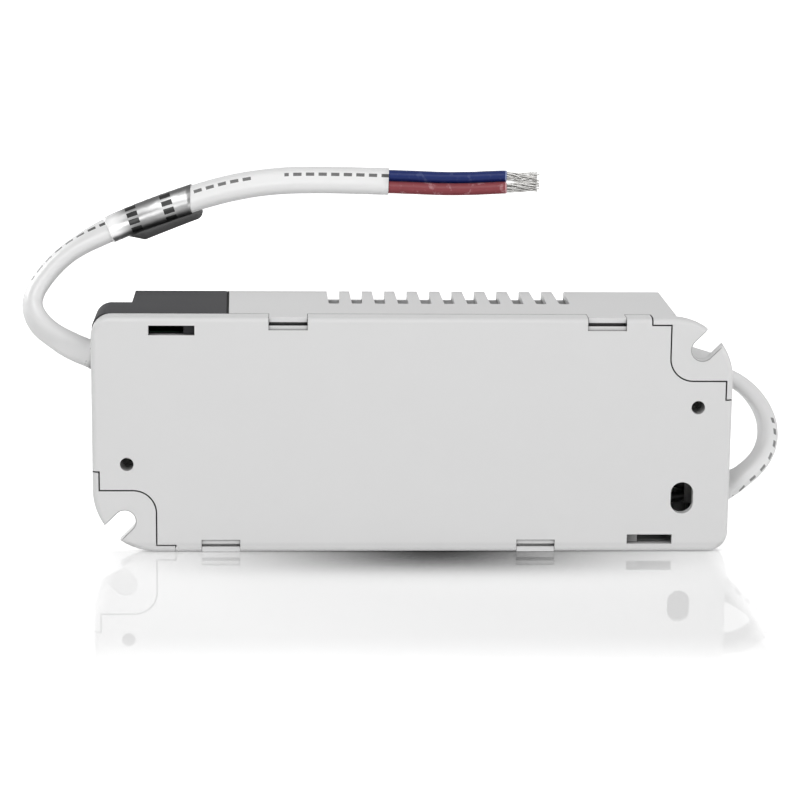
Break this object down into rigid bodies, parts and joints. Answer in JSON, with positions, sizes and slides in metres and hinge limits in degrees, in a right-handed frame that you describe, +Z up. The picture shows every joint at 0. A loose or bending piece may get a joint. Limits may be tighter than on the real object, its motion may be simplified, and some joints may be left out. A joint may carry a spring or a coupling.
{
  "type": "led driver",
  "caption": "Slim plastic LED driver with a snap-fit base tray, terminal covers, diagonal mounting ears, vent slots and flat two-core leads.",
  "frame": {"origin": "centre of the box of the housing, without the free leads, on the long side that it stands on", "axes": "+X along the length, away from the end with the dark cover; +Y from the base plate towards the far face; +Z up, across the width"},
  "size_m": [0.1616, 0.0481, 0.0783],
  "materials": {
    "black_epoxy": "black epoxy package",
    "blue_core": "blue PVC insulation",
    "blue_disc": "dipped coating",
    "board_green": "solder mask",
    "bobbin_plastic": "dark bobbin",
    "cap_red": "red boxed film capacitor",
    "ceramic_body": "white ceramic tube",
    "clamp_plastic": "satin moulded grey",
    "dark_foil": "matt dark backing of the marker",
    "dark_plastic": "fine satin moulded dark grey",
    "enamelled_copper": "enamelled copper wire under tape",
    "ferrite": "dark ferrite",
    "foil": "satin foil",
    "light_plastic": "fine satin moulded light grey",
    "red_core": "red PVC insulation",
    "screw_steel": "zinc plated",
    "sheath": "soft white PVC with a slight sheen",
    "sheet_black": "black insulating film",
    "sink": "bare rolled aluminium",
    "sleeve": "shrunk film sleeve",
    "tape_yellow": "yellow polyester tape over the winding",
    "terminal_green": "moulded terminal block",
    "tinned_strands": "tinned copper strands",
    "yellow_box": "yellow boxed capacitor"
  },
  "bodies": {
    "root": {"upper_housing": "light_plastic", "base_tray": "light_plastic", "input_cover": "dark_plastic", "output_cover": "light_plastic", "cover_screws": "screw_steel", "input_cable_clamp": "clamp_plastic", "output_cable_clamp": "clamp_plastic", "clamp_screws": "screw_steel", "insulating_sheet": "sheet_black", "circuit_board": "board_green", "input_terminal": "terminal_green", "output_terminal": "terminal_green", "terminal_screws": "screw_steel", "fuse": "ceramic_body", "varistor": "blue_disc", "suppression_capacitor": "yellow_box", "choke_core": "ferrite", "choke_windings": "enamelled_copper", "bridge_rectifier": "black_epoxy", "film_capacitor": "cap_red", "inductor_core": "ferrite", "inductor_bobbin": "bobbin_plastic", "inductor_winding": "enamelled_copper", "bulk_capacitor": "sleeve", "transformer_core": "ferrite", "transformer_bobbin": "bobbin_plastic", "transformer_winding": "tape_yellow", "heatsink": "sink", "power_transistor": "black_epoxy", "output_diode": "black_epoxy", "output_capacitors": "sleeve", "safety_capacitor": "blue_disc", "optocoupler": "black_epoxy", "control_chip": "black_epoxy", "input_cord_inner": "sheath", "output_cord_inner": "sheath", "input_inner_cores": "red_core", "output_inner_cores": "blue_core", "input_cord": "sheath", "output_cord": "sheath", "input_core_blue": "blue_core", "input_core_red": "red_core", "input_strands": "tinned_strands", "output_core_blue": "blue_core", "output_core_red": "red_core", "output_strands": "tinned_strands", "cord_foil": "foil", "foil_flag": "dark_foil"}
  },
  "joints": []
}
